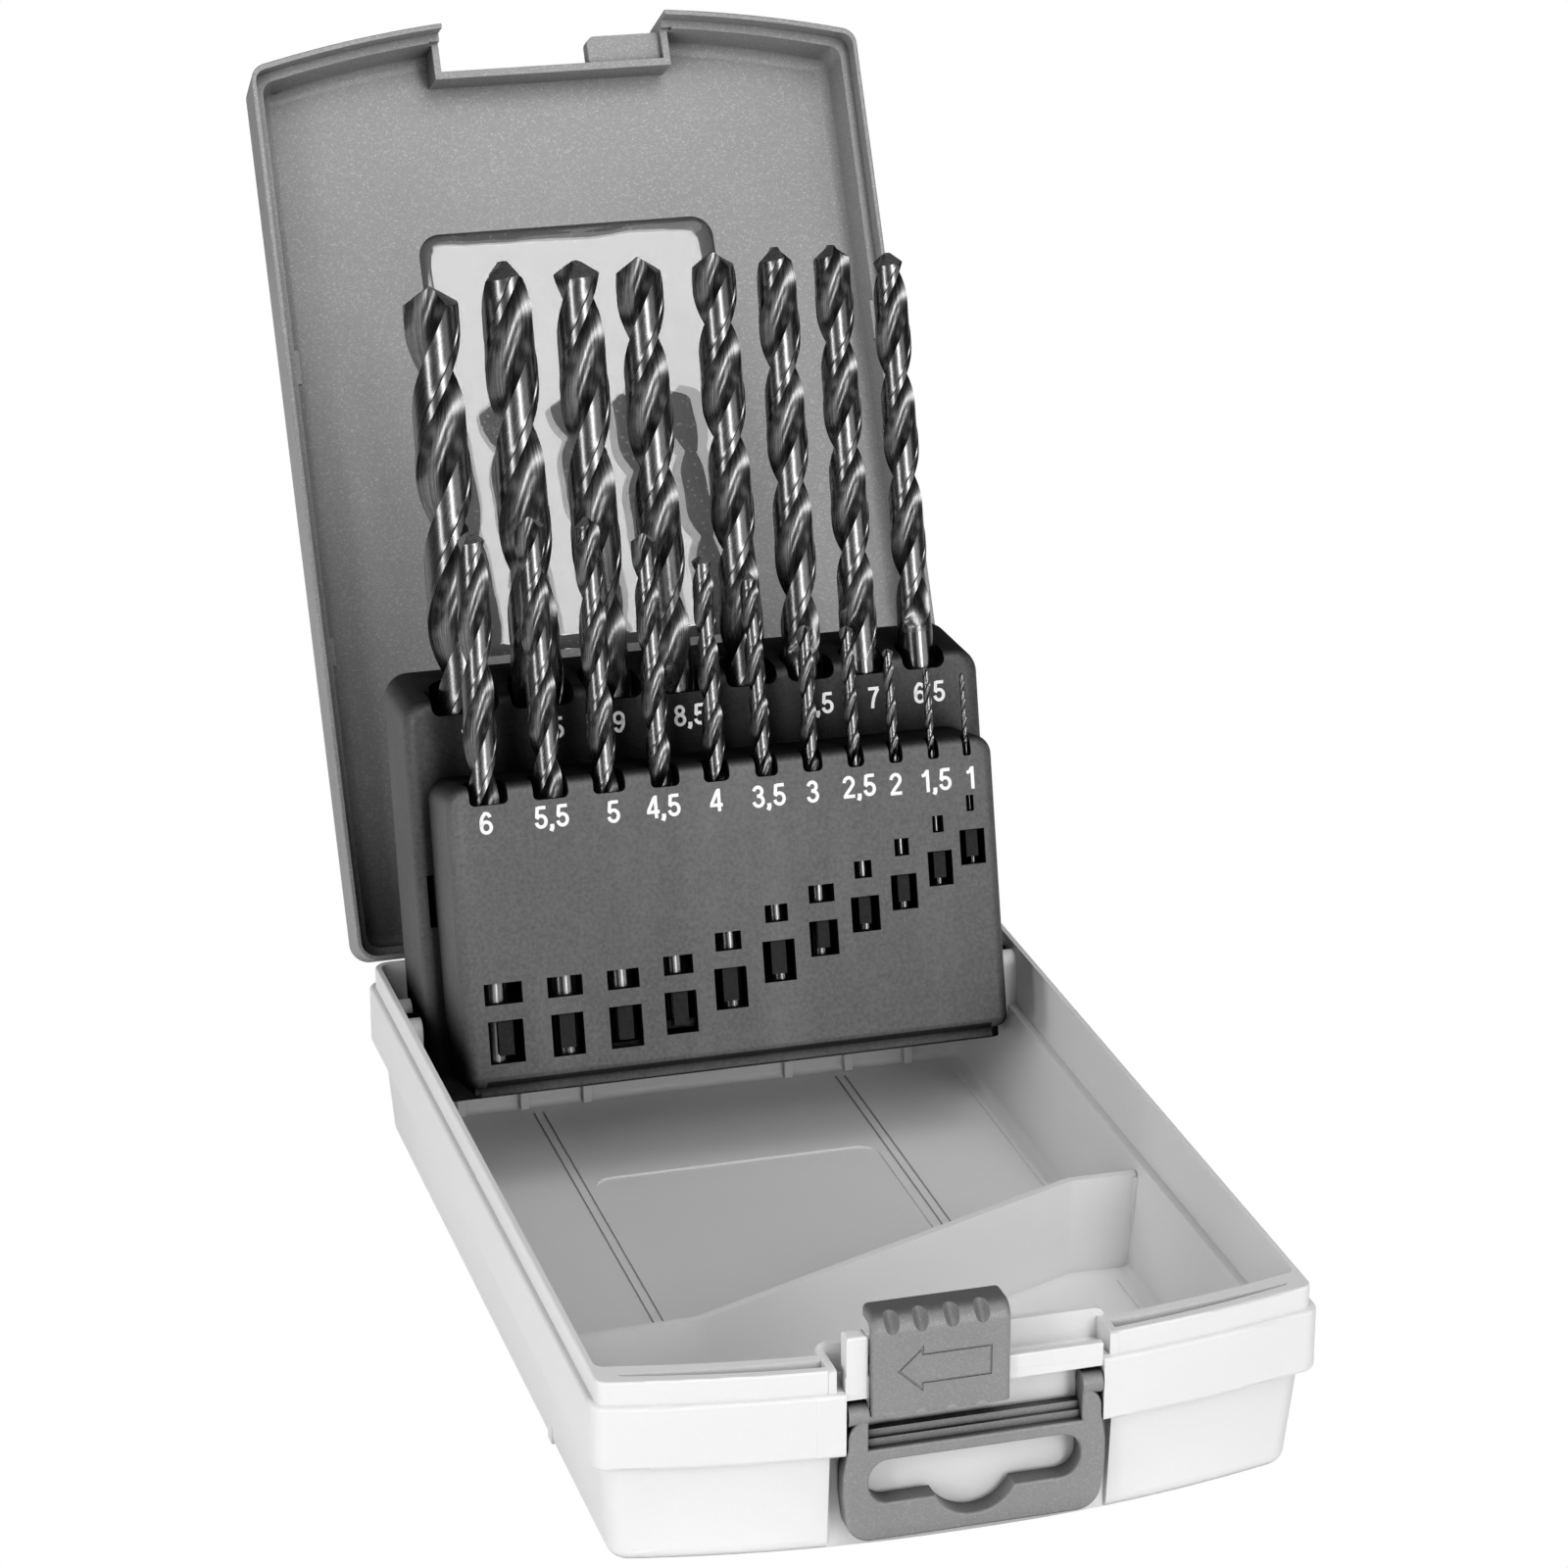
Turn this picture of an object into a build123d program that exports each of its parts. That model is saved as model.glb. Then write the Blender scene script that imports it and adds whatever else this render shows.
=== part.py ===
from build123d import *
import os
import math

# ---------------------------------------------------------------------------
# Drill bit case: two-part hinged box, self-raising two-tier stand, 19 drills.
# Millimetres, +X to the right, -Y to the latch side, +Z up.
# Origin: centre of the underside of the base.
# ---------------------------------------------------------------------------

# base tray
BASE_Z_LOW = 17.0          # top of the lower body, underside of the skirt band
BASE_Z_SKIRT = 27.0        # top of the skirt band
BASE_Z_LIP = 30.6          # top of the lip that enters the lid
BODY_BOT = (51.8, -76.2, -82.8, 75.0)     # half width, front corner y, front centre y, rear y
BODY_TOP = (53.2, -77.5, -84.2, 76.2)
SKIRT = (55.0, -79.0, -85.8, 77.8)
LIP = (54.0, -78.0, -84.8, 76.8)
FLOOR = 1.8
LEDGE_Z = 20.0
CAV_BOT = (50.1, -71.8, -78.6, 73.8)
CAV_LEDGE = (51.6, -73.0, -79.6, 75.2)
CAV_TOP = (53.0, -73.2, -79.8, 75.8)
BOTTOM_R = 2.8
POCKET_Y = -81.0           # back face of the handle pocket
POCKET_HW_UP = 19.35
POCKET_HW_LOW = 21.25
SHELF_Z0, SHELF_Z1 = 25.8, 27.1
NOTCH_HW = 20.5
NOTCH_WALL_Y = (-78.0, -76.8)
NOTCH_WALL_TOP = 31.7
RAIL = (19.3, -84.3, -82.9, 25.8, 29.4)   # half length, y0, y1, z0, z1
STOP_BLOCK = (-19.2, -16.05, -84.3, -81.6, 25.8, 35.6)
PARTITION_TOP = 18.2
PARTITION_T = 1.3

# lid hinge
HINGE_Y, HINGE_Z = 80.8, 26.0
LID_OPEN = 117.7
KNUCKLE_R = 2.4
PIN_R, BORE_R = 1.5, 1.56
KNUCKLE_X = (31.2, 40.8)   # lid knuckle span, each side
LUG_W = 4.2                # base lug either side of it

# lid, given in its closed position
LID_Z0, LID_STEP, LID_IN, LID_TOP = 27.2, 30.8, 39.0, 40.6
LID_OUT = (55.0, -79.2, -86.0, 77.8)
LID_OUT_TOP = (54.3, -78.5, -85.3, 77.1)
LID_SKIRT_IN = (54.25, -78.35, -85.15, 77.05)
LID_IN_LOW = (52.7, -77.0, -83.7, 75.5)
LID_IN_TOP = (51.7, -76.2, -82.9, 74.6)
LID_NOTCH_HW, LID_NOTCH_Y = 20.3, -77.6
WIN_HW, WIN_Y0, WIN_Y1, WIN_R = 27.0, -50.0, 26.0, 4.0
PANE_Z0, PANE_T, CARD_T = 39.6, 0.6, 0.25

# latch slider, shown drawn to the open side
SL_X0, SL_X1 = -15.9, 4.85
SL_Z0, SL_TOP = 23.3, 38.9
SL_FRONT = -86.0

# hang handle
HA_PY, HA_PZ = -83.6, 23.3
HA_Y0, HA_Y1 = -85.2, -82.0

# stand: local frame (x, w backwards from the front face, s up the face)
TILT = 14.0
ST_Y, ST_Z = 30.0, 5.0
FT_X0, FT_X1, FT_S0, FT_S1, FT_W = -46.9, 45.8, 18.4, 69.5, 15.3
RT_X0, RT_X1, RT_S0, RT_SF, RT_SB = -49.85, 49.15, 15.5, 82.1, 86.0
RT_W0, RT_W1 = 15.3, 33.2
PIV_S, PIV_W = 27.9, 22.7
PIV_R = 1.9
PIV_Y = ST_Y + PIV_S * math.sin(math.radians(TILT)) + PIV_W * math.cos(math.radians(TILT))
PIV_Z = ST_Z + PIV_S * math.cos(math.radians(TILT)) - PIV_W * math.sin(math.radians(TILT))

# drills: diameter: (x, tip height s, overall length, flute length)
FRONT_DRILLS = {
    6.0: (-40.0, 110.4, 90.2, 57), 5.5: (-29.7, 111.8, 91.5, 57), 5.0: (-19.9, 110.9, 86, 52),
    4.5: (-10.5, 107.6, 80, 47), 4.0: (-1.8, 102.9, 75, 43), 3.5: (6.7, 99.5, 70, 39),
    3.0: (14.6, 93.0, 61, 33), 2.5: (22.0, 89.3, 57, 30), 2.0: (28.9, 85.3, 49, 24),
    1.5: (35.4, 81.2, 40, 18), 1.0: (41.2, 79.8, 34, 12)}
REAR_DRILLS = {
    10.0: (-39.0, 149.5, 131.6, 87), 9.5: (-26.1, 152.75, 125, 81), 9.0: (-14.3, 152.0, 125, 81),
    8.5: (-3.4, 151.8, 117, 75), 8.0: (9.5, 151.8, 117, 75), 7.5: (19.6, 151.8, 109, 69),
    7.0: (29.5, 151.5, 109, 69), 6.5: (39.2, 149.5, 101, 63)}
# middle of each slot in the upper edge of the rear tier
REAR_SLOTS = {10.0: -39.9, 9.5: -26.8, 9.0: -14.4, 8.5: -2.7, 8.0: 9.2, 7.5: 19.7, 7.0: 29.9, 6.5: 39.6}
FRONT_CLEAR, REAR_CLEAR = 1.15, 1.0   # from a tier's face to the near side of its drills
# windows in the front face: diameter: (upper s0, s1, width), (lower s0, s1, width)
WINDOWS = {
    6.0: ((33.6, 37.15, 6.35), (23.85, 30.95, 5.85)), 5.5: ((33.75, 37.15, 5.9), (23.95, 30.95, 5.4)),
    5.0: ((33.9, 37.15, 5.4), (24.15, 31.1, 5.5)), 4.5: ((35.2, 38.4, 5.0), (25.4, 32.4, 5.4)),
    4.0: ((38.25, 41.35, 4.45), (28.5, 35.4, 5.5)), 3.5: ((42.05, 45.0, 3.9), (32.1, 39.0, 5.5)),
    3.0: ((44.45, 47.45, 4.4), (35.55, 41.45, 4.9)), 2.5: ((47.75, 50.65, 3.0), (38.8, 44.7, 4.9)),
    2.0: ((50.75, 53.65, 2.5), (41.75, 47.65, 4.5)), 1.5: ((54.0, 56.8, 1.9), (45.05, 50.9, 4.25)),
    1.0: ((57.0, 59.7, 1.3), (48.05, 53.95, 4.35))}
HOLE_CLEAR = 0.15


def box(x0, x1, y0, y1, z0, z1):
    return Pos((x0 + x1) / 2, (y0 + y1) / 2, (z0 + z1) / 2) * Box(x1 - x0, y1 - y0, z1 - z0)


def slab(dim, z, rf=2.5, rr=3.0):
    """Plan outline with a bowed front edge and rounded corners, at height z."""
    hw, yc, ym, yr = dim
    with BuildSketch(Plane.XY.offset(z)) as sk:
        with BuildLine():
            Polyline((hw, yc), (hw, yr), (-hw, yr), (-hw, yc))
            ThreePointArc((-hw, yc), (0, ym), (hw, yc))
        make_face()
        fillet(sk.vertices().group_by(Axis.Y)[0], rf)
        fillet(sk.vertices().group_by(Axis.Y)[-1], rr)
    return sk.sketch.faces()[0]


def prism(dim0, z0, dim1, z1, rf=2.5, rr=3.0):
    return Part() + loft([slab(dim0, z0, rf, rr), slab(dim1, z1, rf, rr)], ruled=True)


def cyl_x(x0, x1, y, z, r):
    return Pos((x0 + x1) / 2, y, z) * Rot(0, 90, 0) * Cylinder(r, x1 - x0)


def try_fillet(part, edges, r):
    for rad in (r, r * 0.7, r * 0.4):
        try:
            new = part.fillet(rad, edges)
            if new.is_valid and abs(new.volume) > 0:
                if rad != r:
                    print("fillet reduced", r, rad)
                return Part() + new
        except Exception:
            pass
    print("fillet skipped", r)
    return part


def save(node, shape):
    solids = shape.solids()
    out = solids[0] if len(solids) == 1 else Compound(children=list(solids))
    export_step(out, "parts/%s.step" % node)
    print("%-22s solids %d volume %.1f valid %s" % (node, len(solids), shape.volume, out.is_valid))


# ---------------------------------------------------------------------------
def make_base():
    low = prism(BODY_BOT, 0, BODY_TOP, BASE_Z_LOW, 3.6, 4.0)
    low = try_fillet(low, low.edges().group_by(Axis.Z)[0], BOTTOM_R)
    skirt = prism(SKIRT, BASE_Z_LOW, SKIRT, BASE_Z_SKIRT, 3.0, 3.4)
    skirt = try_fillet(skirt, skirt.edges().group_by(Axis.Z)[0], 0.7)
    skirt = try_fillet(skirt, skirt.edges().group_by(Axis.Z)[-1], 0.5)
    lip = prism(LIP, BASE_Z_SKIRT - 0.5, LIP, BASE_Z_LIP, 2.0, 2.6)
    lip = try_fillet(lip, lip.edges().group_by(Axis.Z)[-1], 0.35)
    body = low + skirt + lip
    # hollow
    cav = prism(CAV_BOT, FLOOR, CAV_LEDGE, LEDGE_Z, 2.4, 2.4)
    cav = try_fillet(cav, cav.edges().group_by(Axis.Z)[0], 1.0)
    cav_up = prism(CAV_TOP, LEDGE_Z, CAV_TOP, BASE_Z_LIP + 1, 1.6, 2.0)
    body = body - cav - cav_up
    # groove between the lip and the inner front wall
    g = prism((50.6, -76.8, -83.6, -40.0), 28.2, (50.6, -76.8, -83.6, -40.0), 32, 1.0, 1.0)
    g = g - prism((70.0, -72.13, -80.9, 0.0), 27, (70.0, -72.13, -80.9, 0.0), 33, 1.0, 1.0)
    g = g & (box(21.7, 60, -90, -60, 20, 40) + box(-60, -21.7, -90, -60, 20, 40))
    body = body - g
    # latch notch, handle pocket
    body = body - box(-NOTCH_HW, NOTCH_HW, -92, NOTCH_WALL_Y[0], SHELF_Z1, 40)
    body = body - box(-POCKET_HW_UP, POCKET_HW_UP, -92, POCKET_Y, BASE_Z_LOW - 0.01, SHELF_Z0)
    body = body - box(-POCKET_HW_LOW, POCKET_HW_LOW, -92, POCKET_Y, -1, BASE_Z_LOW)
    body = body - box(-POCKET_HW_UP, POCKET_HW_UP, -92, RAIL[1] - 0.05, SHELF_Z0 - 1, 40)
    # shelf, rail, back wall of the notch, stop block
    body = body + box(-NOTCH_HW - 1.2, NOTCH_HW + 1.2, -80.2, NOTCH_WALL_Y[1], SHELF_Z0 - 0.2, SHELF_Z1)
    wall = box(-NOTCH_HW - 1.2, NOTCH_HW + 1.2, NOTCH_WALL_Y[0], NOTCH_WALL_Y[1], SHELF_Z1 - 0.1, NOTCH_WALL_TOP)
    wall = try_fillet(wall, wall.edges().filter_by(Axis.Y).group_by(Axis.Z)[-1], 1.6)
    body = body + wall
    rail = box(-RAIL[0], RAIL[0], RAIL[1], RAIL[2], RAIL[3], RAIL[4])
    rail = try_fillet(rail, rail.edges().filter_by(Axis.X).group_by(Axis.Z)[-1], 0.3)
    body = body + rail
    blk = box(*STOP_BLOCK)
    blk = try_fillet(blk, blk.edges().group_by(Axis.Z)[-1], 0.4)
    body = body + blk
    for sx in (-1, 1):
        # side returns of the notch
        xa, xb = sorted((sx * NOTCH_HW, sx * (NOTCH_HW + 1.2)))
        body = body + box(xa, xb, -83.9, NOTCH_WALL_Y[1], 26.0, BASE_Z_LIP - 0.1)
        # cheeks for the handle pins
        xa, xb = sorted((sx * POCKET_HW_UP, sx * 23.6))
        body = body + box(xa, xb, -84.6, -79.4, BASE_Z_LOW + 0.4, BASE_Z_SKIRT - 0.4)
        body = body - cyl_x(min(sx * 19.0, sx * 21.4), max(sx * 19.0, sx * 21.4), HA_PY, HA_PZ, 1.16)
    # partition across the tray
    with BuildLine() as ln:
        FilletPolyline((-51.3, -41.0), (-28.7, -40.1), (40.3, -10.9), (51.3, -11.2), radius=4.0)
    wall = extrude(Pos(0, 0, FLOOR - 0.3) * trace(ln.line, line_width=PARTITION_T),
                   amount=PARTITION_TOP - FLOOR + 0.3)
    body = body + wall
    for sx in (-1, 1):
        # short feet where the partition meets the side walls
        xa, xb = sorted((sx * 50.6, sx * 52.2))
        yy = -41.0 if sx < 0 else -11.2
        body = body + box(xa, xb, yy - 1.2, yy + 1.2, FLOOR - 0.3, PARTITION_TOP - 0.6)
        # low rails along the floor
        xa, xb = sorted((sx * 46.9, sx * 47.7))
        body = body + box(xa, xb, -6.0, 66.0, FLOOR - 0.3, FLOOR + 0.35)
    body = body + box(46.9, 47.7, -66.0, -16.0, FLOOR - 0.3, FLOOR + 0.35)
    # ribs low on the rear wall
    for x in (-40.1, -29.0, -17.9, 18.3, 29.2, 40.1):
        body = body + box(x - 0.7, x + 0.7, 72.6, 75.0, FLOOR - 0.3, 11.5)
    # floor grooves, panel and gate
    for x in (-27.9, -26.3, 26.3, 27.9):
        body = body - box(x - 0.2, x + 0.2, -36.0 if x < 0 else -13.0, 71.0, FLOOR - 0.35, FLOOR + 0.1)
    pan = extrude(Pos(0, 13.0, FLOOR - 0.35) * RectangleRounded(49.2, 60.0, 3.5), amount=1)
    keep = extrude(Pos(0, 12.3, FLOOR - 0.5) * RectangleRounded(48.6, 60.0, 3.2), amount=2)
    body = body - (pan - box(-30, 30, -40, -16, 0, 5) - box(0, 60, -40, -1, 0, 5))
    # lugs that carry the stand pins
    for sx in (-1, 1):
        for yc in (PIV_Y - 4.05, PIV_Y + 4.05):
            xa, xb = sorted((sx * 50.5, sx * 53.4))
            lug = box(xa, xb, yc - 1.95, yc + 1.95, 18.5, 27.4) + cyl_x(xa, xb, yc, 27.4, 1.95)
            body = body + lug
        body = body + box(xa, xb, PIV_Y - 4.0, PIV_Y + 4.0, 18.5, PIV_Z - PIV_R - 0.25)
    # lid hinge lugs with their bores
    for sx in (-1, 1):
        for x0 in (KNUCKLE_X[0] - 0.25 - LUG_W, KNUCKLE_X[1] + 0.25):
            xa, xb = sorted((sx * x0, sx * (x0 + LUG_W)))
            lug = box(xa, xb, 77.0, HINGE_Y, HINGE_Z - KNUCKLE_R, HINGE_Z + 0.8)
            lug = lug + cyl_x(xa, xb, HINGE_Y, HINGE_Z, KNUCKLE_R)
            lug = lug - cyl_x(xa - 1, xb + 1, HINGE_Y, HINGE_Z, BORE_R)
            body = body + lug
    # underside: shallow recess leaving a rim to stand on
    rec = prism((47.0, -71.0, -76.5, 70.0), -1, (47.0, -71.0, -76.5, 70.0), 0.35, 4.0, 4.0)
    body = body - rec
    return body


# ---------------------------------------------------------------------------
def to_open(shape):
    """Swing a lid shape from its closed to its open position."""
    ax = Axis((0, HINGE_Y, HINGE_Z), (1, 0, 0))
    return shape.rotate(ax, -LID_OPEN)


def make_lid():
    out = prism(LID_OUT, LID_Z0, LID_OUT_TOP, LID_TOP, 3.0, 3.4)
    out = try_fillet(out, out.edges().group_by(Axis.Z)[-1], 2.0)
    out = try_fillet(out, out.edges().group_by(Axis.Z)[0], 0.25)
    skirt = prism(LID_SKIRT_IN, LID_Z0 - 1, LID_SKIRT_IN, LID_STEP, 2.2, 2.6)
    cav = prism(LID_IN_LOW, LID_STEP - 0.1, LID_IN_TOP, LID_IN, 2.4, 2.4)
    cav = try_fillet(cav, cav.edges().group_by(Axis.Z)[-1], 2.0)
    keep = box(-LID_NOTCH_HW - 1.2, LID_NOTCH_HW + 1.2, -95, LID_NOTCH_Y + 1.3, NOTCH_WALL_TOP + 0.5, 50)
    lid = out - skirt - (cav - keep)
    lid = lid - box(-LID_NOTCH_HW, LID_NOTCH_HW, -95, LID_NOTCH_Y, 20, 50)
    # clear the inner latch wall and its returns when closed
    lid = lid - box(-22.1, 22.1, -82.8, -76.4, 20, NOTCH_WALL_TOP + 0.5)
    # catch tab beside the open slider
    tab = box(7.0, LID_NOTCH_HW, -82.7, LID_NOTCH_Y + 0.6, 33.8, 37.0)
    tab = try_fillet(tab, tab.edges().filter_by(Axis.Z).group_by(Axis.X)[0], 1.4)
    lid = lid + tab
    # window opening with its rebate
    cx, cy = 0.0, (WIN_Y0 + WIN_Y1) / 2
    lid = lid - extrude(Pos(cx, cy, 35) * RectangleRounded(2 * WIN_HW, WIN_Y1 - WIN_Y0, WIN_R), amount=10)
    lid = lid - extrude(Pos(cx, cy, PANE_Z0) * RectangleRounded(2 * WIN_HW + 3.2, WIN_Y1 - WIN_Y0 + 3.2, WIN_R + 1.4), amount=10)
    # snap bumps along the rim
    for (sx, y0, y1) in ((-1, -29.5, -23.5), (-1, 21.2, 26.2), (1, -30.5, -23.5), (1, 21.2, 26.2)):
        xa, xb = sorted((sx * 52.0, sx * 54.4))
        lid = lid + box(xa, xb, y0, y1, LID_STEP, LID_STEP + 1.3)
    # hinge knuckles with their stub pins
    for sx in (-1, 1):
        xa, xb = sorted((sx * KNUCKLE_X[0], sx * KNUCKLE_X[1]))
        kn = cyl_x(xa, xb, HINGE_Y, HINGE_Z, KNUCKLE_R)
        kn = kn + box(xa, xb, 78.4, HINGE_Y + 1.2, HINGE_Z, HINGE_Z + 5.6)
        kn = kn + box(xa, xb, 76.4, HINGE_Y + 1.2, LID_STEP + 0.2, HINGE_Z + 6.6)
        kn = kn + cyl_x(xa - LUG_W, xb + LUG_W, HINGE_Y, HINGE_Z, PIN_R)
        lid = lid + kn
    return to_open(lid)


def make_pane():
    cy = (WIN_Y0 + WIN_Y1) / 2
    p = extrude(Pos(0, cy, PANE_Z0) * RectangleRounded(2 * WIN_HW + 2.6, WIN_Y1 - WIN_Y0 + 2.6, WIN_R + 1.1), amount=PANE_T)
    return to_open(p)


def make_card():
    cy = (WIN_Y0 + WIN_Y1) / 2
    p = extrude(Pos(0, cy, PANE_Z0 + PANE_T + 0.02) * RectangleRounded(2 * WIN_HW + 2.0, WIN_Y1 - WIN_Y0 + 2.0, WIN_R + 0.8), amount=CARD_T)
    return to_open(p)


# ---------------------------------------------------------------------------
def make_slider():
    y0, y1 = SL_FRONT, SL_FRONT + 1.5
    with BuildSketch(Plane.YZ.offset(SL_X0)) as sk:
        with BuildLine():
            Polyline((y0, SL_Z0), (y0, 36.1))
            ThreePointArc((y0, 36.1), (y0 + 2.8 * (1 - math.cos(math.pi / 4)), 36.1 + 2.8 * math.sin(math.pi / 4)), (y0 + 2.8, SL_TOP))
            Polyline((y0 + 2.8, SL_TOP), (-80.4, SL_TOP), (-80.4, 37.5), (-83.2, 37.5))
            ThreePointArc((-83.2, 37.5), (-84.5 + 1.3 * (1 - math.cos(math.pi / 4)), 36.2 + 1.3 * math.sin(math.pi / 4)), (y1, 36.2))
            Polyline((y1, 36.2), (y1, 31.2), (-81.7, 31.2), (-81.7, 27.6), (-82.6, 27.6), (-82.6, 29.75), (y1, 29.75), (y1, SL_Z0), (y0, SL_Z0))
        make_face()
    s = Part() + extrude(sk.sketch, amount=SL_X1 - SL_X0)
    s = s + box(SL_X0 + 3.4, SL_X1 - 4.6, y1 - 0.1, -82.3, SL_Z0, SHELF_Z0 - 0.3)
    # ease the two end outlines of the front plate
    ends = [e for e in s.edges() if (abs(e.center().X - SL_X0) < 0.01 or abs(e.center().X - SL_X1) < 0.01)
            and (abs(e.center().Y - y0) < 0.01 or e.center().Z > 37.9)
            and e.center().Z > 24]
    s = try_fillet(s, ends, 0.9)
    # finger grooves over the top bend and scallops in the lower edge
    for x in (-12.9, -8.6, -4.0, 0.5):
        g = Pos(x, -85.55, 38.45) * Rot(-45, 0, 0) * Cylinder(1.25, 9.0)
        s = s - g
        s = s - Pos(x, SL_FRONT, SL_Z0 - 0.55) * Rot(90, 0, 0) * Cylinder(1.1, 6.0)
    # outline arrow pressed into the face
    outer = make_face(Polyline((-12.2, 30.3), (-8.3, 34.0), (-8.3, 32.7), (1.9, 32.7), (1.9, 27.9), (-8.3, 27.9), (-8.3, 26.6), (-12.2, 30.3)))
    inner = make_face(Polyline((-11.7, 30.3), (-8.6, 33.2), (-8.6, 32.4), (1.6, 32.4), (1.6, 28.2), (-8.6, 28.2), (-8.6, 27.4), (-11.7, 30.3)))
    ring = outer - inner
    ring = Plane.XZ.offset(-(SL_FRONT + 0.12)) * ring
    s = s - extrude(ring, amount=1.0)
    return s


def make_handle():
    with BuildSketch(Plane.XZ) as sk:
        with BuildLine():
            Polyline((-19.05, HA_PZ), (-19.05, 18.4), (-19.75, 14.2), (-19.75, 10.5), (-18.9, 3.0),
                     (18.9, 3.0), (19.75, 10.5), (19.75, 14.2), (19.05, 18.4), (19.05, HA_PZ), (-19.05, HA_PZ))
        make_face()
        low = [v for v in sk.vertices() if v.Z < 4]
        fillet(low, 3.8)
        mid = [v for v in sk.vertices() if 10 < v.Z < 19]
        fillet(mid, 3.0)
    with BuildSketch(Plane.XZ) as cut:
        with Locations((0, (9.0 + 15.8) / 2)):
            Rectangle(32.0, 6.8)
        with BuildSketch(Plane.XZ, mode=Mode.PRIVATE) as dip:
            with Locations((0, 12.05)):
                Circle(6.75)
            with Locations((0, 9.3 + 10)):
                Rectangle(40, 20, mode=Mode.SUBTRACT)
        add(dip.sketch)
        corner = [v for v in cut.vertices() if abs(v.X) > 15]
        fillet([v for v in corner if v.Z < 10], 3.1)
        fillet([v for v in corner if v.Z > 10], 1.4)
        fillet([v for v in cut.vertices() if abs(abs(v.X) - 6.0) < 1.2 and abs(v.Z - 9.0) < 0.3], 1.1)
    gap = Plane.XZ * Pos(0, 17.8 + 10) * Rectangle(32.1, 20.0)
    face = sk.sketch - cut.sketch - gap
    plate = extrude(face, amount=HA_Y1 - HA_Y0)
    bb = plate.bounding_box()
    plate = Part() + plate.translate((0, HA_Y0 - bb.min.Y, 0))
    fr = [e for e in plate.edges() if abs(e.center().Y - HA_Y0) < 0.01 and e.center().Z < HA_PZ - 0.3]
    plate = try_fillet(plate, fr, 0.45)
    # stepped web behind the cross bar
    plate = plate + box(-16.2, 16.2, -83.4, HA_Y1, 17.3, 20.2)
    plate = plate + box(-16.2, 16.2, -84.0, -83.3, 17.3, 19.0)
    for sx in (-1, 1):
        xa, xb = sorted((sx * 16.05, sx * 19.05))
        plate = plate + cyl_x(xa, xb, HA_PY, HA_PZ, 1.85)
        xa, xb = sorted((sx * 19.0, sx * 20.9))
        plate = plate + cyl_x(xa, xb, HA_PY, HA_PZ, 1.1)
    return plate


# ---------------------------------------------------------------------------
def to_stand(shape):
    """Local stand frame (x, w, s) to the leaning position in the tray."""
    return Pos(0, ST_Y, ST_Z) * Rot(-TILT, 0, 0) * shape


def bottoms(table):
    return {d: v[1] - v[2] for d, v in table.items()}


def shelf_steps(table, w0, w1, x0, x1, s_low):
    """Stepped floor that the shanks stand on: one solid staircase."""
    items = sorted(table.items(), key=lambda kv: kv[1][0])
    xs = [v[0] for _, v in items]
    edges = [x0] + [(a + b) / 2 for a, b in zip(xs, xs[1:])] + [x1]
    out = Part()
    for i, (d, v) in enumerate(items):
        top = v[1] - v[2] - 0.08
        s0 = top - 1.4
        out = out + box(edges[i], edges[i + 1], w0, w1, max(s_low, s0), top)
        if i:
            prev = items[i - 1][1]
            ptop = prev[1] - prev[2] - 0.08
            lo, hi = min(ptop, top) - 1.4, max(ptop, top)
            out = out + box(edges[i] - 0.5, edges[i] + 0.5, w0, w1, max(s_low, lo), hi)
    return out


def u_slot(x0, x1, w0, w1, s0, s1, r):
    """Cutter for a slot with rounded lower corners."""
    t = box(x0, x1, w0, w1, s0, s1)
    return try_fillet(t, t.edges().filter_by(Axis.Y).group_by(Axis.Z)[0], r)


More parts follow.
